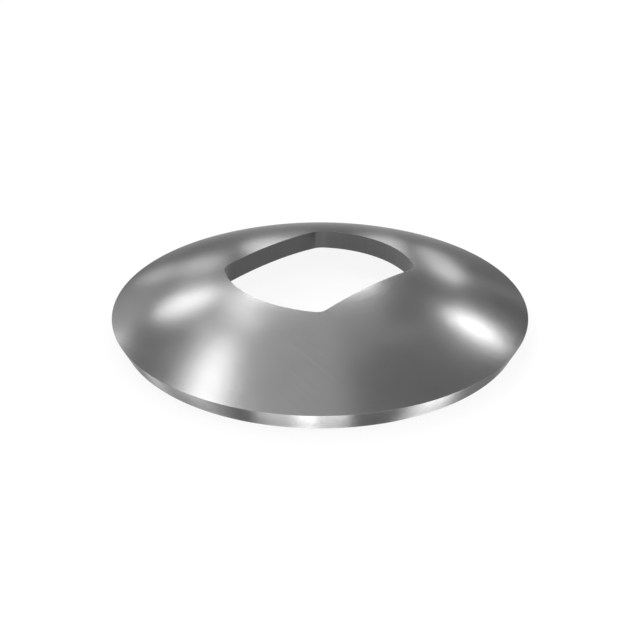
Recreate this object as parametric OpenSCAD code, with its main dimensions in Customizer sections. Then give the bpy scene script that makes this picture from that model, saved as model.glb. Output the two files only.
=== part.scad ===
// Spherical thrust washer: a ring of sheet steel, dished to the shape of a ball, with a flatted hole.
// The hollow underside seats on the ball-shaped back of a gear, and the crown bears in a round pocket.
// Units are millimetres. +Z points up through the crown, and +X is square to the flats of the hole.
// The origin is on the washer's axis, in the plane of the lower rim edge that the washer lies on.

/* [Dome] */
// Diameter over the upper edge of the rim, the widest place of the washer
outer_d = 45; // [30:0.5:80]
// Radius of the hollow ball seat on the underside
seat_r = 55; // [30:0.5:200]
// Thickness of the sheet, even from the hole to the rim
sheet_t = 2.1; // [0.5:0.05:4]

/* [Hole] */
// Width of the hole across its two flats, along X
across_flats = 15; // [6:0.1:20]
// Width of the hole across the crowns of its two round sides, along Y
across_arcs = 19.75; // [14:0.05:26]
// Radius of each round side, here longer than half the width, so that the side is a shallow bow
arc_r = 12; // [9:0.1:40]
// Radius in the four corners where a flat runs into a round side
corner_r = 1.4; // [0.2:0.1:4]

/* [Smoothness] */
// Straight pieces in a full circle
$fn = 360; // [90:30:720]

/* [Hidden] */

// Radius of the crown, which has the same centre as the seat
crown_r = seat_r + sheet_t;
// Slope of the dome at the rim, which is also the lean of the rim face, cut square to the sheet
rim_slope = asin(outer_d / 2 / crown_r);
// Height of the centre of crown and seat, below the washer
ball_z = -seat_r * cos(rim_slope);

// Distance of the centre of a round side from the washer's axis, negative where it lies beyond the axis
arc_y = across_arcs / 2 - arc_r;
// Centre of a corner: one corner radius in from the flat
corner_x = across_flats / 2 - corner_r;
// Centre of a corner: one corner radius in from the round side
corner_y = arc_y + sqrt(pow(arc_r - corner_r, 2) - pow(corner_x, 2));

// Half section of the dome: the strip between two circles about one centre, ended by a radial cut.
module dome_section() {
    reach = 2 * crown_r;
    translate([0, ball_z])
        intersection() {
            difference() {
                circle(r = crown_r);
                circle(r = seat_r);
            }
            polygon([[0, 0], reach * [sin(rim_slope), cos(rim_slope)], [0, reach]]);
        }
}

// One round side of the hole: the sector of a circle between the two corners that it runs into.
module round_side() {
    reach = 2 * arc_r;
    corner_angle = atan2(corner_y - arc_y, corner_x);
    translate([0, arc_y])
        intersection() {
            circle(r = arc_r);
            polygon([
                [0, 0],
                reach * [cos(corner_angle), sin(corner_angle)],
                [0, reach],
                reach * [-cos(corner_angle), sin(corner_angle)]
            ]);
        }
}

// Outline of the hole, seen along the axis: two flats and two round sides, with the corners eased.
module hole_outline() {
    square([across_flats, 2 * corner_y], center = true);
    for (side = [0, 1])
        mirror([0, side, 0]) {
            round_side();
            for (end = [-1, 1])
                translate([end * corner_x, corner_y])
                    circle(r = corner_r);
        }
}

// The washer: the section spun about the axis, with the hole punched straight through the crown.
module thrust_washer() {
    color("silver")
        difference() {
            rotate_extrude()
                dome_section();
            linear_extrude(height = crown_r)
                hole_outline();
        }
}

thrust_washer();
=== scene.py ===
# %% [markdown]
# A dished thrust washer.
# The washer sits between the ball-shaped back of a gear and a round pocket in the housing. It is one ring
# of sheet steel, blanked, punched and pressed to the shape of a ball, so every surface on it is a simple
# one: two ball faces about one centre, a cone round the rim, and a hole with two flats and two bowed sides.
# We load the imported CAD model first. It is the fixed frame: metres, +Z up through the crown, the origin on
# the axis in the plane that the washer lies on. The dressed washer may not outgrow it.

# %% Load the frame
import math

import bpy
import numpy as np
from mathutils import Matrix, Vector


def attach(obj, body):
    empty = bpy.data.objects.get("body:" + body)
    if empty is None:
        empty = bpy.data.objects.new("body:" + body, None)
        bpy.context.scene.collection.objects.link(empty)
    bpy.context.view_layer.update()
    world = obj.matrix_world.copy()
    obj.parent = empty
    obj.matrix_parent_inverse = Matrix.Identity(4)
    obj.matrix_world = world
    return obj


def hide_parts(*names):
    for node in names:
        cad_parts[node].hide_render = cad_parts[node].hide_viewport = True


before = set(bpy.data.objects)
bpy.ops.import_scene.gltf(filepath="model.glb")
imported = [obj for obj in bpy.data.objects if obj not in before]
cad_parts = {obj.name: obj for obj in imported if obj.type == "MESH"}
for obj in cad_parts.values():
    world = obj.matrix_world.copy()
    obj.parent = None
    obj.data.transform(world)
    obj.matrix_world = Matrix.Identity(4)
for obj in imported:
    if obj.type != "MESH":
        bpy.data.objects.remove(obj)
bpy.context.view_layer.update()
print("CAD nodes:", sorted(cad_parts))

# %% [markdown]
# The camera comes before the shapes, because it tells us how closely each part is seen. The rim's ellipse
# and the hole's outline in the picture give its place: it looks down at 28.5 degrees, along a diagonal of
# the hole, from only two washer widths away, so the near rim looks clearly larger than the far one. A
# camera further off with a longer lens would frame it too, but flatten it, so both numbers belong together.

# %% Camera
VIEW_AZIMUTH = math.radians(45.0)
VIEW_ELEVATION = math.radians(28.538)
VIEW_DISTANCE = 0.08938
AIM = Vector((0.0, 0.0, -0.000913))

to_camera = Vector((
    math.sin(VIEW_AZIMUTH) * math.cos(VIEW_ELEVATION),
    -math.cos(VIEW_AZIMUTH) * math.cos(VIEW_ELEVATION),
    math.sin(VIEW_ELEVATION),
))
camera_data = bpy.data.cameras.new("camera")
camera_data.sensor_width = 36.0
camera_data.lens = 44.668
camera_data.clip_start = 0.001
camera_data.clip_end = 20.0
camera = bpy.data.objects.new("camera", camera_data)
camera.location = AIM + VIEW_DISTANCE * to_camera
camera.rotation_euler = to_camera.to_track_quat("Z", "Y").to_euler()
bpy.context.scene.collection.objects.link(camera)
bpy.context.scene.camera = camera
bpy.context.scene.view_settings.view_transform = "Standard"
print("camera at mm:", [round(1000 * v, 2) for v in camera.location], "lens", round(camera_data.lens, 2))

# %% [markdown]
# The hole. A round hole would let the washer spin with the gear; the two flats key it. Its outline is drawn
# as the toolmaker would draw the punch: a flat, a small corner radius, a shallow bow, and the same again by
# mirroring. A boolean cut on a sphere could make it too, but it leaves long thin triangles that shade badly
# on polished metal. Here the outline is worked out first, and the whole washer is spun out from its points.

# %% Hole outline
MM = 0.001
HALF_FLATS = 7.5
HALF_BOWS = 9.875
BOW_R = 12.0
CORNER_R = 1.4


def flatted_hole_outline(flat_steps=42, corner_steps=24, bow_steps=42):
    """Points round the hole in mm, anticlockwise from +X, one row of x and y each.

    In the first quarter the flat is the line x = half the width, stepped evenly in angle; the corner is
    a circle of the corner radius about (corner_x, corner_y), touching the flat and the bow; the bow is a
    circle about (0, bow_y). The second quarter is the first one mirrored in x and walked backwards, and
    the other half is minus the first half.
    """
    bow_y = HALF_BOWS - BOW_R
    corner_x = HALF_FLATS - CORNER_R
    corner_y = bow_y + math.sqrt((BOW_R - CORNER_R) ** 2 - corner_x ** 2)
    meet = math.atan2(corner_y - bow_y, corner_x)
    swing = np.linspace(0.0, math.atan2(corner_y, HALF_FLATS), flat_steps, endpoint=False)
    flat = np.stack([np.full(flat_steps, HALF_FLATS), HALF_FLATS * np.tan(swing)], axis=1)
    turn = np.linspace(0.0, meet, corner_steps, endpoint=False)
    corner = np.stack([corner_x + CORNER_R * np.cos(turn), corner_y + CORNER_R * np.sin(turn)], axis=1)
    arc = np.linspace(meet, math.pi / 2, bow_steps + 1)
    bow = np.stack([BOW_R * np.cos(arc), bow_y + BOW_R * np.sin(arc)], axis=1)
    quarter = np.concatenate([flat, corner, bow])
    half = np.concatenate([quarter[:-1], quarter[:0:-1] * [-1.0, 1.0]])
    return np.concatenate([half, -half])


outline = flatted_hole_outline()
print("hole outline:", len(outline), "points, mm across:", np.ptp(outline, axis=0).round(3))

# %% [markdown]
# The section. Cut the washer along any half plane through its axis and the cut is the same closed strip: up
# the hole wall, out along the crown, down the rim, back along the hollow seat. Only where the wall stands
# changes as the plane turns. So the surface is a function of two parameters: which plane, and how far round
# the strip. Real edges are never knife sharp. These look crisp, so the finishing drum has taken only about
# a hundredth of a millimetre off them, but even that narrow curve catches the light and each corner is eased.

# %% Section of the sheet
OUTER_R = 22.5
SEAT_R = 55.0
SHEET = 2.1
EDGE_BREAK = 0.014
CROWN_R = SEAT_R + SHEET
RIM_SLOPE = math.asin(OUTER_R / CROWN_R)
BALL_Z = -SEAT_R * math.cos(RIM_SLOPE)


def graded(steps, crowd=0.94):
    """Values from 0 to 1, crowded at both ends: t minus crowd times sin(2 pi t) over 2 pi."""
    t = np.linspace(0.0, 1.0, steps)[:, None]
    return t - crowd * np.sin(2 * math.pi * t) / (2 * math.pi)


def on_ball(radius, distance):
    """Height over the floor of a ball face, at a distance from the axis: Pythagoras about its centre."""
    return BALL_Z + np.sqrt(radius ** 2 - distance ** 2)


def eased(start, corner, end, steps=5):
    """Rows between two points beside a corner: a parabola that leaves and meets both faces along them."""
    t = (np.arange(1, steps + 1) / (steps + 1))[:, None]
    return [(1 - t) ** 2 * a + 2 * t * (1 - t) * b + t ** 2 * c for a, b, c in zip(start, corner, end)]


def sheet_section(hole_r):
    """Distance from the axis and height of every row of the strip, for each plane's hole radius.

    Wall: the hole radius, from seat to crown. The crown and the seat are the two balls. Rim: the straight
    line from one ball to the other that points at their centre. Each stretch stops one edge break short of
    its ends.
    """
    cut = EDGE_BREAK
    lean, rise = math.sin(RIM_SLOPE), math.cos(RIM_SLOPE)
    row = np.ones_like(hole_r)[None]
    hole_r = hole_r[None]
    wall_low, wall_top = on_ball(SEAT_R, hole_r) + cut, on_ball(CROWN_R, hole_r) - cut
    wall = (graded(13) * 0 + hole_r, wall_low + graded(13) * (wall_top - wall_low))
    crown_out = hole_r + cut + graded(46) * (OUTER_R - cut * rise - hole_r - cut)
    crown = (crown_out, on_ball(CROWN_R, crown_out))
    rim_reach = (CROWN_R - cut - graded(13) * (SHEET - 2 * cut)) * row
    rim = (lean * rim_reach, BALL_Z + rise * rim_reach)
    seat_out = hole_r + cut + graded(34)[::-1] * (SEAT_R * lean - cut * rise - hole_r - cut)
    seat = (seat_out, on_ball(SEAT_R, seat_out))
    corners = [
        (hole_r, on_ball(CROWN_R, hole_r)),
        (OUTER_R * row, on_ball(CROWN_R, OUTER_R * row)),
        (SEAT_R * lean * row, 0.0 * row),
        (hole_r, on_ball(SEAT_R, hole_r)),
    ]
    stretches = [wall, crown, rim, seat]
    rows, kinds = [], []
    for i, stretch in enumerate(stretches):
        after = stretches[(i + 1) % 4]
        rows.append(stretch)
        rows.append(eased([v[-1:] for v in stretch], corners[i], [v[:1] for v in after]))
        kinds += [i] * (len(stretch[0]) + 2) + [(i + 1) % 4] * 3
    out = np.concatenate([r for r, z in rows])
    up = np.concatenate([z for r, z in rows])
    to_edge = np.min([np.hypot(out - r, up - z) for r, z in corners], axis=0)
    return out, up, to_edge, np.array(kinds)


hole_r = np.hypot(outline[:, 0], outline[:, 1])
out, up, to_edge, kinds = sheet_section(hole_r)
print("section:", out.shape[0], "rows on", out.shape[1], "planes; height mm:", up.min(), "to", up.max())

# %% [markdown]
# The mesh. Every row joins the next one, the last row joins the first, and so do the planes, so the grid
# closes on itself like the skin of a tyre: no seam, no pole, no open edge. Whole arrays of corner numbers
# are made at once and handed to Blender with foreach_set, which is far quicker than adding faces one by one.
# The volume tells whether the faces point outwards: if it comes out negative, every face is turned round.

# %% Washer mesh
def ring_mesh(name, points):
    """Closed grid: face (i, j) joins rows i, i + 1 and planes j, j + 1, both counted round.

    Volume: a sixth of the sum of corner a dot (b cross c plus c cross d), over all faces.
    """
    rows, planes = points.shape[:2]
    i, j = np.meshgrid(np.arange(rows), np.arange(planes), indexing="ij")
    this_row, next_row, beside = i * planes, (i + 1) % rows * planes, (j + 1) % planes
    quads = np.stack([this_row + j, next_row + j, next_row + beside, this_row + beside], axis=-1)
    a, b, c, d = (points.reshape(-1, 3)[quads[..., k]] for k in range(4))
    volume = np.einsum("ijk,ijk", a, np.cross(b, c) + np.cross(c, d)) / 6
    quads = quads if volume > 0 else quads[..., ::-1]
    mesh = bpy.data.meshes.new(name)
    mesh.vertices.add(rows * planes)
    mesh.vertices.foreach_set("co", points.astype(np.float32).ravel())
    mesh.loops.add(quads.size)
    mesh.loops.foreach_set("vertex_index", quads.astype(np.int32).ravel())
    mesh.polygons.add(rows * planes)
    mesh.polygons.foreach_set("loop_start", np.arange(0, quads.size, 4, dtype=np.int32))
    mesh.polygons.foreach_set("use_smooth", np.ones(rows * planes, dtype=bool))
    mesh.update(calc_edges=True)
    return mesh, abs(volume)


angle = np.arctan2(outline[:, 1], outline[:, 0])[None]
points = MM * np.stack([out * np.cos(angle), out * np.sin(angle), up], axis=-1)
mesh, volume = ring_mesh("washer_dished_ring", points)
mesh.polygons.foreach_set("material_index", np.repeat(kinds, points.shape[1]).astype(np.int32))
washer = bpy.data.objects.new("washer_dished_ring", mesh)
bpy.context.scene.collection.objects.link(washer)
print("washer:", len(mesh.polygons), "faces,", round(volume * 1e9, 1), "mm3")

# %% [markdown]
# Marks for the finishes. Wear follows the shape: edges rub bright, and a sheared wall is smooth where the
# punch came in and duller where the slug broke away. The hole's corners get a painted highlight, a lighter
# band that stands in for a reflection, wider along the bow than along the flat. A texture knows nothing of
# that, but the arrays above do. So three numbers a point are stored on the mesh as attributes, which a
# material reads by name.

# %% Marks for the finishes
EDGE_RUB = 0.16
CORNER_TURN = math.radians(43.4)
# Half widths of the painted highlight at the hole's corners, on the flat's side and on the bow's side.
HIGHLIGHT_ON_FLAT = math.radians(2.4)
HIGHLIGHT_ON_BOW = math.radians(5.0)


def mark(name, values):
    """One number for each point of the washer, row after row, kept under a name."""
    layer = mesh.attributes.new(name, "FLOAT", "POINT")
    layer.data.foreach_set("value", np.broadcast_to(values, out.shape).astype(np.float32).ravel())
    print("mark", name, "from", round(float(np.min(values)), 3), "to", round(float(np.max(values)), 3))


past_corner = np.arctan2(np.abs(outline[:, 1]), np.abs(outline[:, 0]))[None] - CORNER_TURN
highlight_spread = np.where(past_corner < 0.0, HIGHLIGHT_ON_FLAT, HIGHLIGHT_ON_BOW)
mark("near_edge", np.exp(-to_edge / EDGE_RUB))
mark("sheet_depth", (np.hypot(out, up - BALL_Z) - SEAT_R) / SHEET)
# Painted highlight: a lighter band at each corner of the hole, in place of a reflection.
mark("corner_painted_highlight", np.exp(-(past_corner / highlight_spread) ** 2))

# %% [markdown]
# The finishes are all one steel, but each face was made another way and shows it. Each is a node tree that
# reads Object coordinates, so the pattern sits on the metal and not on the picture. Such trees could be
# wired by hand in the shader editor; in a script, two small helpers keep them readable. One adds a node and
# sets its sockets, the other joins two sockets.

# %% Node helpers
def add(tree, kind, settings=None, **sockets):
    """A new node of one kind, with its settings (operation and the like) and its sockets' own values."""
    node = tree.nodes.new("ShaderNode" + kind)
    for key, value in (settings or {}).items():
        setattr(node, key, value)
    for key, value in sockets.items():
        node.inputs[key.replace("_", " ")].default_value = value
    return node


def join(tree, source, output, target, socket):
    """One wire, from a named or numbered output to a named or numbered input."""
    tree.links.new(source.outputs[output], target.inputs[socket])


print("node helpers:", add.__name__, "and", join.__name__)

# %% [markdown]
# Patterns. Nearly everything on worked metal is noise pulled out in one direction: rolling lines, punch
# streaks, hair scratches. Pulled out the same in all directions it gives specks and clouds. Sizes are in
# metres, as the mesh is, so a stretch of 5000 means grains of a fifth of a millimetre. A pattern is then
# mapped onto the small range of shade or roughness that the real surface shows, and such ranges are added.

# %% Patterns
def grain(tree, coordinates, stretch, turn=0.0, detail=2.0):
    """Noise on Object coordinates, turned about Z in degrees and stretched per axis (grains a metre)."""
    place = add(tree, "Mapping", Rotation=(0.0, 0.0, math.radians(turn)), Scale=stretch)
    noise = add(tree, "TexNoise", Scale=1.0, Detail=detail, Roughness=0.55)
    join(tree, coordinates, "Object", place, "Vector")
    join(tree, place, "Vector", noise, "Vector")
    return noise


def between(tree, source, low, high, start=0.3, end=0.7):
    """Maps a pattern that runs from start to end onto the values low to high, and holds them beyond."""
    span = add(tree, "MapRange", {"clamp": True}, From_Min=start, From_Max=end, To_Min=low, To_Max=high)
    join(tree, source, "Fac", span, "Value")
    return span


def sum_of(tree, *parts):
    """Adds up the results of several nodes, one after the other."""
    total = parts[0]
    for part in parts[1:]:
        plus = add(tree, "Math", {"operation": "ADD"})
        join(tree, total, 0, plus, 0)
        join(tree, part, 0, plus, 1)
        total = plus
    return total


print("pattern helpers:", grain.__name__, between.__name__, sum_of.__name__)

# %% [markdown]
# Bare metal. Blender's Principled shader with Metallic at 1 is bare metal: it has no colour of its own but
# what it mirrors, times the base colour. Its Specular Tint is the edge colour, seen when you look along the
# surface; steel with a satin skin goes darker there, not lighter, so it is kept low. Constants like these
# go straight onto the sockets, and only what varies over the surface is wired.

# %% Bare metal
def new_finish(name, edge_tint, bare=1.0):
    """An empty metal material with its edge colour and its share of bare metal.

    Returns the material, its tree, its shader and its coordinates.
    """
    material = bpy.data.materials.new(name)
    material.use_nodes = True
    tree = material.node_tree
    tree.nodes.clear()
    output = add(tree, "OutputMaterial")
    metal = add(tree, "BsdfPrincipled", Metallic=bare)
    metal.inputs["Specular Tint"].default_value = (edge_tint, edge_tint, edge_tint, 1.0)
    join(tree, metal, "BSDF", output, "Surface")
    return material, tree, metal, add(tree, "TexCoord")


def wear_and_highlight(tree, mark_name, amount):
    """How much brighter the steel is where a mark is, from rubbed edges and from painted highlights: the mark
    times an amount.
    """
    return between(tree, add(tree, "Attribute", {"attribute_name": mark_name}), 0.0, amount, 0.0, 1.0)


def dress(tree, metal, shade, rough, relief, strength, height):
    """Wires a grey shade, a roughness and a relief of some height in metres into the metal shader."""
    colour = add(tree, "CombineColor")
    for channel in ("Red", "Green", "Blue"):
        join(tree, shade, 0, colour, channel)
    bump = add(tree, "Bump", Strength=strength, Distance=height)
    join(tree, colour, "Color", metal, "Base Color")
    join(tree, rough, 0, metal, "Roughness")
    join(tree, relief, 0, bump, "Height")
    join(tree, bump, "Normal", metal, "Normal")
    print("finish", metal.id_data.name, "has", len(tree.nodes), "nodes")


print("metal helpers:", new_finish.__name__, wear_and_highlight.__name__, dress.__name__)

# %% [markdown]
# The crown. It is the bearing face: rolled sheet, pressed, then tumbled bright with fine media, which leaves
# a satin skin that mirrors the lamps as soft patches about as wide as the lamp. On top come faint things at
# their real size: rolling lines along the sheet, specks from the tumbling, a slow mottle and a few hair
# scratches. They are kept faint on purpose. A bearing face that looked brushed would be a worn-out one.

# %% Finish of the crown
def crown_finish():
    """Satin pressed steel: rolling lines, tumbling specks, mottle, hair scratches and bright edges."""
    finish, tree, metal, where = new_finish("satin_crown", 0.30)
    lines = grain(tree, where, (150.0, 9000.0, 150.0), turn=18.0)
    specks = grain(tree, where, (5200.0, 5200.0, 5200.0), detail=3.0)
    mottle = grain(tree, where, (170.0, 170.0, 170.0))
    hairs = grain(tree, where, (90.0, 14000.0, 90.0), turn=-37.0, detail=1.0)
    shade = sum_of(
        tree,
        between(tree, mottle, 0.268, 0.286),
        between(tree, lines, -0.005, 0.005),
        between(tree, hairs, 0.0, 0.02, 0.68, 0.74),
        wear_and_highlight(tree, "near_edge", 0.015),
    )
    rough = sum_of(
        tree,
        between(tree, mottle, 0.214, 0.236),
        between(tree, specks, -0.012, 0.012),
        between(tree, hairs, 0.0, -0.02, 0.68, 0.74),
    )
    relief = sum_of(tree, between(tree, lines, 0.0, 0.5, 0.2, 0.8), between(tree, specks, 0.0, 0.5, 0.2, 0.8))
    dress(tree, metal, shade, rough, relief, strength=0.6, height=1.2e-6)
    return finish


satin_crown = crown_finish()

# %% [markdown]
# The cut faces. The rim is blanked square to the sheet and the hole is punched straight through, so both
# show the tool: fine streaks along the stroke, a smooth land where the steel was sheared first and a duller
# one where it broke away. Their shades are written darker than the crown's, the hole wall darkest: painted
# shade, which stands in for the dark reflections on these faces. In the hole a dull film covers half of the
# metal. One function makes both, with the streaks running through the sheet, so the two faces stay members of
# a family; the marks brighten the edges by wear, and in the hole the corners with a painted highlight.

# %% Finishes of the rim and the hole
def cut_finish(name, shade, edge_tint, bare, rough, streak, strength, bright):
    """Sheared steel: streaks along the stroke from noise stretched in Z, duller low down in the sheet.

    Shade and rough are ranges, bare is the share of bare metal, streak is how far the streaks move the
    shade, strength is that of their relief, and bright gives for each mark how much shade it adds.
    """
    finish, tree, metal, where = new_finish(name, edge_tint, bare)
    streaks = grain(tree, where, (2600.0, 2600.0, 110.0))
    blotch = grain(tree, where, (260.0, 260.0, 260.0))
    depth = add(tree, "Attribute", {"attribute_name": "sheet_depth"})
    shade_sum = sum_of(
        tree,
        between(tree, blotch, *shade),
        between(tree, streaks, -streak, streak),
        between(tree, depth, -0.5 * streak, 0.5 * streak, 0.25, 0.75),
        *(wear_and_highlight(tree, mark_name, amount) for mark_name, amount in bright.items()),
    )
    rough_sum = sum_of(tree, between(tree, streaks, *rough), between(tree, depth, 0.02, -0.02, 0.25, 0.75))
    relief = between(tree, streaks, 0.0, 1.0, 0.0, 1.0)
    dress(tree, metal, shade_sum, rough_sum, relief, strength, height=2.0e-6)
    return finish


# Both shade ranges below are painted shade: darker than the crown's steel, standing in for dark reflections.
punched_wall = cut_finish(
    "punched_hole_wall", shade=(0.072, 0.078), edge_tint=0.8, bare=0.5, rough=(0.30, 0.32),
    # The corner mark adds a painted highlight in the hole's corners.
    streak=0.003, strength=0.25, bright={"near_edge": 0.01, "corner_painted_highlight": 0.032},
)
blanked_rim = cut_finish(
    "blanked_rim", shade=(0.131, 0.141), edge_tint=0.38, bare=1.0, rough=(0.19, 0.23),
    streak=0.004, strength=0.5, bright={"near_edge": 0.02},
)

# %% [markdown]
# The seat. The hollow underside rubs on the ball of the gear, so it is the same satin steel with faint
# circles about the axis. Rings come from a wave texture that runs outward from the axis, bent by a little
# noise so that no two are alike. It is hardly seen in the picture, but the part is turned over as well.

# %% Finish of the seat
def seat_finish():
    """Satin steel with fine circles about Z: a ring wave, bent by noise, moves roughness and shade."""
    finish, tree, metal, where = new_finish("ball_seat", 0.4)
    rings = add(
        tree, "TexWave", {"wave_type": "RINGS", "rings_direction": "Z"},
        Scale=700.0, Distortion=1.5, Detail=2.0, Detail_Scale=2.0,
    )
    join(tree, where, "Object", rings, "Vector")
    mottle = grain(tree, where, (190.0, 190.0, 190.0))
    shade = sum_of(
        tree,
        between(tree, mottle, 0.255, 0.285),
        between(tree, rings, -0.008, 0.008, 0.0, 1.0),
        wear_and_highlight(tree, "near_edge", 0.015),
    )
    rough = sum_of(tree, between(tree, mottle, 0.23, 0.25), between(tree, rings, -0.015, 0.015, 0.0, 1.0))
    relief = between(tree, rings, 0.0, 1.0, 0.0, 1.0)
    dress(tree, metal, shade, rough, relief, strength=0.3, height=1.5e-6)
    return finish


ball_seat = seat_finish()

# %% [markdown]
# Dressing the washer. The four stretches of the section were numbered as they were made, so the materials
# only have to be appended in that order: wall, crown, rim, seat.

# %% Dress the washer
for finish in (punched_wall, satin_crown, blanked_rim, ball_seat):
    mesh.materials.append(finish)
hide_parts("thrust_washer")
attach(washer, "root")
print("washer dressed in:", [finish.name for finish in mesh.materials])

# %% [markdown]
# The floor. It is a plain white sheet that runs out past the picture, drawn as a disc of rings that get
# wider outwards. Paper lit by the same lamps as the washer comes out a light grey, so for camera and mirror
# rays most of it is a plain white glow of strength 1; the rest is real paper, which keeps the washer's
# shadow. Turning the lamps up would whiten it too, but it would bleach the washer as well.

# %% Floor
FLOOR_R = 2.5


def floor_disc(radius, rings=24, spokes=96):
    """Flat grid of rings and spokes: distance is radius times the ring's share squared, angle the spoke."""
    ring = radius * np.linspace(0.0, 1.0, rings + 1)[1:] ** 2
    spoke = np.linspace(0.0, 2 * math.pi, spokes, endpoint=False)
    level = np.zeros((rings, spokes))
    flat = np.stack([np.outer(ring, np.cos(spoke)), np.outer(ring, np.sin(spoke)), level], axis=-1)
    corners = np.concatenate([np.zeros((1, 3)), flat.reshape(-1, 3)])
    i, j = np.meshgrid(np.arange(rings - 1), np.arange(spokes), indexing="ij")
    inner, outer, beside = 1 + i * spokes, 1 + (i + 1) * spokes, (j + 1) % spokes
    quads = np.stack([inner + j, outer + j, outer + beside, inner + beside], axis=-1)
    first = np.arange(spokes)
    fan = np.stack([0 * first, 1 + first, 1 + (first + 1) % spokes], axis=-1)
    return corners.tolist(), quads.reshape(-1, 4).tolist() + fan.tolist()


floor_mesh = bpy.data.meshes.new("floor")
floor_points, floor_faces = floor_disc(FLOOR_R)
floor_mesh.from_pydata(floor_points, [], floor_faces)
floor = bpy.data.objects.new("floor", floor_mesh)
bpy.context.scene.collection.objects.link(floor)
print("floor:", len(floor_mesh.polygons), "faces, radius", FLOOR_R, "m")

# %% [markdown]
# The paper itself is two shaders in a mix: matt white paper, and the glow. The Light Path node says what kind
# of ray is asking. Camera, mirror and glass rays see mostly the glow; a lamp's light sees only the paper.
# Near the washer the paper's share is large enough to show the shadow. It fades out with the distance, so
# that far away the floor runs into the white of the horizon without a line.

# %% Paper
PAPER_WHITE = 0.95
WHITE_SHARE = 0.88
SHADE_NEAR = 0.06
SHADE_FAR = 0.40

paper = bpy.data.materials.new("white_paper")
paper.use_nodes = True
tree = paper.node_tree
tree.nodes.clear()
sheet = add(tree, "BsdfDiffuse", Color=(PAPER_WHITE, PAPER_WHITE, PAPER_WHITE, 1.0))
glow = add(tree, "Emission", Color=(1.0, 1.0, 1.0, 1.0), Strength=1.0)
ray = add(tree, "LightPath")
mirror_or_glass = add(tree, "Math", {"operation": "MAXIMUM"})
seen = add(tree, "Math", {"operation": "MAXIMUM"})
spot = add(tree, "TexCoord")
away = add(tree, "VectorMath", {"operation": "LENGTH"})
white = add(tree, "MapRange", From_Min=SHADE_NEAR, From_Max=SHADE_FAR, To_Min=WHITE_SHARE, To_Max=1.0)
share = add(tree, "Math", {"operation": "MULTIPLY"})
blend = add(tree, "MixShader")
paper_output = add(tree, "OutputMaterial")
join(tree, ray, "Is Glossy Ray", mirror_or_glass, 0)
join(tree, ray, "Is Transmission Ray", mirror_or_glass, 1)
join(tree, mirror_or_glass, "Value", seen, 0)
join(tree, ray, "Is Camera Ray", seen, 1)
join(tree, spot, "Object", away, 0)
join(tree, away, "Value", white, "Value")
join(tree, seen, "Value", share, 0)
join(tree, white, "Result", share, 1)
join(tree, share, "Value", blend, "Fac")
join(tree, sheet, "BSDF", blend, 1)
join(tree, glow, "Emission", blend, 2)
join(tree, blend, "Shader", paper_output, "Surface")
floor_mesh.materials.append(paper)
print("paper:", len(tree.nodes), "nodes,", WHITE_SHARE, "of it glow near the washer")

# %% [markdown]
# The room. A studio for small shiny parts is a pale tent: white at the horizon, where the paper sweeps up,
# and a soft grey overhead. Metal shows its room more than its own colour, so this gradient matters as much
# as any lamp. A world shader can paint it: the height of the ray's direction, sent through a smooth step.
# Behind the washer the white is a low band; at the sides and in front the tent's cloth is drawn up higher,
# so that the washer stands before plain white from there too. How far round a ray points is a dot product.

# %% Room
ROOM_GREY = 0.360
HORIZON_WHITE = 1.0
SWEEP_BEHIND = 0.21
SWEEP_ROUND = 1.30
BEHIND_FROM = -0.5

world = bpy.data.worlds.new("tent")
world.use_nodes = True
bpy.context.scene.world = world
tree = world.node_tree
tree.nodes.clear()
way = add(tree, "TexCoord")
parts = add(tree, "SeparateXYZ")
frontward = add(tree, "VectorMath", {"operation": "DOT_PRODUCT"})
frontward.inputs[1].default_value = (math.sin(VIEW_AZIMUTH), -math.cos(VIEW_AZIMUTH), 0.0)
smooth = {"interpolation_type": "SMOOTHSTEP"}
reach = add(
    tree, "MapRange", smooth, From_Min=BEHIND_FROM, From_Max=0.0, To_Min=SWEEP_BEHIND, To_Max=SWEEP_ROUND)
sweep = add(tree, "MapRange", smooth, From_Min=0.0, To_Min=HORIZON_WHITE, To_Max=ROOM_GREY)
tent = add(tree, "Background", Strength=1.0)
world_output = add(tree, "OutputWorld")
join(tree, way, "Generated", parts, "Vector")
join(tree, way, "Generated", frontward, 0)
join(tree, frontward, "Value", reach, "Value")
join(tree, reach, "Result", sweep, "From Max")
join(tree, parts, "Z", sweep, "Value")
join(tree, sweep, "Result", tent, "Color")
join(tree, tent, "Background", world_output, "Surface")
print("room:", HORIZON_WHITE, "at the horizon,", ROOM_GREY, "overhead")

# %% [markdown]
# A soft lamp. Each soft patch on the crown is one lamp seen in it. Knowing the camera and the ball shape, we
# can follow the mirror ray from a patch to the lamp behind it, so a lamp is best listed by the direction in
# which the washer sees it: degrees to the right of straight behind, degrees up, half width, half height and
# turn, all as angles, and its radiance. Ellipse area lamps suit that; a point lamp would mirror as a dot.

# %% Soft lamp
LAMP_DISTANCE = 0.35
LAMP_AIM = Vector((0.0, 0.0, 0.004))
right = Vector((math.cos(VIEW_AZIMUTH), math.sin(VIEW_AZIMUTH), 0.0))
behind = Vector((-math.sin(VIEW_AZIMUTH), math.cos(VIEW_AZIMUTH), 0.0))
upward = Vector((0.0, 0.0, 1.0))


def soft_lamp(name, place, shine, width_way, width, height, radiance):
    """An ellipse lamp at a place, shining along a direction, with its width along another.

    Power: radiance times the ellipse's area times pi.
    """
    back = -shine
    wide = (width_way - width_way.dot(back) * back).normalized()
    lamp = bpy.data.lights.new(name, "AREA")
    lamp.shape = "ELLIPSE"
    lamp.size = width
    lamp.size_y = height
    lamp.energy = radiance * math.pi * (math.pi / 4 * width * height)
    holder = bpy.data.objects.new(name, lamp)
    turned = Matrix((wide, back.cross(wide), back)).transposed().to_4x4()
    holder.matrix_world = Matrix.Translation(place) @ turned
    bpy.context.scene.collection.objects.link(holder)
    return holder


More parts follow.
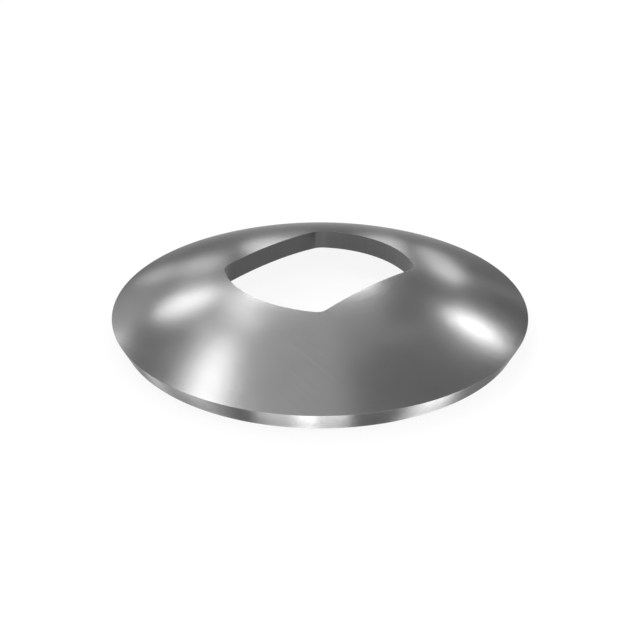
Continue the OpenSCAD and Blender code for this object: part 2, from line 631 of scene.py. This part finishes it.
def lamp_seen_at(name, side, rise, half_w, half_h, turn, radiance, distance=LAMP_DISTANCE):
    """A lamp at a distance in the direction of two angles, its half sizes as angles, turned from level."""
    side, rise, turn = math.radians(side), math.radians(rise), math.radians(turn)
    way = math.cos(rise) * (math.sin(side) * right + math.cos(side) * behind) + math.sin(rise) * upward
    level = way.cross(upward).normalized()
    width_way = math.cos(turn) * level + math.sin(turn) * level.cross(way)
    width, height = (2 * distance * math.tan(math.radians(half)) for half in (half_w, half_h))
    return soft_lamp(name, LAMP_AIM + distance * way, -way, width_way, width, height, radiance)


print("lamps hang", LAMP_DISTANCE, "m from the washer")

# %% [markdown]
# The lamps over the washer. The two brightest patches, right and left, and the tall one at the lower left
# are small strong lamps. The paler patches round the hole are wider and weaker ones. The last few only lift
# the grey between them a little, as the walls of a tent do.

# %% Lamps over the washer
OVERHEAD = {
    "lamp_right": (39.52, 34.02, 6.45, 1.63, -13.0, 17.47),
    "lamp_right_low": (47.99, 32.44, 1.71, 1.89, 52.0, 2.94),
    "lamp_right_high": (30.30, 50.36, 1.86, 7.88, 22.0, 0.43),
    "lamp_left_low": (-30.11, 29.80, 6.46, 4.71, 16.9, 5.73),
    "lamp_left_bar": (-68.21, 60.00, 22.31, 5.00, -11.3, 3.87),
    "lamp_left_mid": (-22.05, 41.52, 11.45, 3.06, -80.2, 2.25),
    "lamp_left_high": (-34.86, 42.74, 2.28, 1.67, 8.6, 2.05),
    "lamp_hidden_bar": (-2.31, 37.76, 12.97, 3.47, -6.8, 9.81),
    "lamp_back": (10.26, 17.00, 4.04, 13.95, -3.4, 3.82),
    "lamp_back_right": (20.30, 12.59, 10.29, 2.97, 57.4, 3.90),
    "lamp_back_left": (-7.40, 14.46, 9.11, 4.85, -99.3, 5.00),
    "lamp_low_right": (8.77, 5.53, 4.03, 2.23, -12.8, 1.86),
    "lamp_low_left": (-2.68, 4.73, 1.74, 2.40, 14.9, 1.53),
    "lamp_left_back": (-18.15, 11.67, 5.19, 3.69, -58.0, 1.56),
    "lamp_left_far": (-22.64, 11.66, 9.54, 4.49, 61.9, 2.27),
    "lamp_left_side": (-43.75, 18.99, 26.73, 6.59, -35.2, 0.96),
    "lamp_left_edge": (-46.96, 22.16, 4.33, 2.34, 62.9, 3.20),
    "lamp_right_far": (31.10, 10.26, 19.59, 3.40, -37.2, 0.77),
    "lamp_right_top": (11.31, 48.14, 6.52, 17.87, -10.4, 0.35),
    "lamp_top": (-45.37, 72.34, 35.00, 19.50, 130.0, 0.54),
}
overhead = [lamp_seen_at(name, *numbers) for name, numbers in OVERHEAD.items()]
print("lamps over the washer:", len(overhead))

# %% [markdown]
# Someone may walk round the washer, and from behind it would mirror only the empty front of the tent. So a
# few plain soft lamps hang on the camera's own side. The crown never mirrors them into this picture: from
# here its mirror rays all leave within sixty degrees of straight behind. They are for every other view.

# %% Lamps on the camera's side
CAMERA_SIDE = {
    "lamp_front_right": (142.0, 33.0, 7.5, 4.0, 14.0, 7.0),
    "lamp_front_left": (-146.0, 30.0, 7.0, 4.5, -20.0, 6.0),
    "lamp_front_low": (176.0, 14.0, 5.0, 10.0, 0.0, 4.0),
    "lamp_side_right": (98.0, 38.0, 9.0, 4.0, -30.0, 5.0),
    "lamp_side_left": (-108.0, 32.0, 8.0, 4.0, 25.0, 5.0),
    "lamp_front_bar": (160.0, 58.0, 16.0, 4.0, 10.0, 3.5),
    "lamp_right_bar": (114.0, 54.0, 13.0, 4.0, 15.0, 4.0),
    "lamp_left_bar_near": (-112.0, 54.0, 12.0, 4.0, -20.0, 4.0),
}
camera_side = [lamp_seen_at(name, *numbers) for name, numbers in CAMERA_SIDE.items()]
print("lamps on the camera's side:", len(camera_side))

# %% [markdown]
# Strips under the paper. The rim leans under, so it mirrors what lies below it, and the bright stretches
# along it are lights low down. On a light table that is easy: strips under the paper. To place one, stand on
# the rim where the stretch should be, take the cone's normal and the way to the camera, and follow the
# mirrored ray down through the paper. The paper would stop these strips, so light linking takes it out of the
# things that can shade them.

# %% Strips under the paper
STRIP_DISTANCE = 0.15
STRIP_HALF_HEIGHT = 5.0
no_shade = bpy.data.collections.new("paper_casts_no_shade")
no_shade.objects.link(floor)
no_shade.collection_objects[0].light_linking.link_state = "EXCLUDE"


def strip_under(name, round_rim, half_w, radiance):
    """A lamp mirrored on the rim, some degrees round from the point nearest to the camera.

    Rim normal: outward times cos(slope) minus up times sin(slope). Mirrored ray: 2 (n . v) n - v.
    """
    turn = math.radians(round_rim)
    outward = math.sin(turn) * right - math.cos(turn) * behind
    along = math.cos(turn) * right + math.sin(turn) * behind
    reach = MM * (SEAT_R + SHEET / 2)
    from_centre = reach * (math.sin(RIM_SLOPE) * outward + math.cos(RIM_SLOPE) * upward)
    stand = Vector((0.0, 0.0, MM * BALL_Z)) + from_centre
    normal = math.cos(RIM_SLOPE) * outward - math.sin(RIM_SLOPE) * upward
    view = (camera.location - stand).normalized()
    ray_down = 2 * normal.dot(view) * normal - view
    halves = (half_w, STRIP_HALF_HEIGHT)
    width, height = (2 * STRIP_DISTANCE * math.tan(math.radians(half)) for half in halves)
    strip = soft_lamp(name, stand + STRIP_DISTANCE * ray_down, -ray_down, along, width, height, radiance)
    strip.light_linking.blocker_collection = no_shade
    return strip


UNDER = {
    "strip_far_left": (-44.0, 5.0, 3.17),
    "strip_left_end": (-40.0, 5.0, 2.30),
    "strip_left": (-31.3, 12.0, 4.04),
    "strip_left_near": (-26.0, 8.0, 1.14),
    "strip_front_left": (-8.0, 10.3, 4.15),
    "strip_front": (-3.6, 3.6, 5.59),
    "strip_front_right": (1.8, 7.4, 5.92),
    "strip_right": (27.0, 11.3, 11.12),
    "strip_right_end": (36.0, 6.0, 1.04),
    "strip_far_right": (42.0, 5.0, 0.81),
}
strips = [strip_under(name, *numbers) for name, numbers in UNDER.items()]
print("strips under the rim:", len(strips))

# %% [markdown]
# The hole wall stands upright and mirrors the paper inside the hole and beyond it. Two more strips under the
# paper, wide and weak and listed like the lamps but below the level, lift the bowed far wall a little.

# %% Strips for the hole
HOLE = {
    "strip_hole_front": (-158.0, -23.0, 28.0, 12.0, 0.0, 0.55),
    "strip_hole_left": (-88.0, -23.0, 36.0, 12.0, 0.0, 0.38),
}
for name, numbers in HOLE.items():
    strips.append(lamp_seen_at(name, *numbers, STRIP_DISTANCE))
    strips[-1].light_linking.blocker_collection = no_shade
print("strips under the paper, with those for the hole:", len(strips))
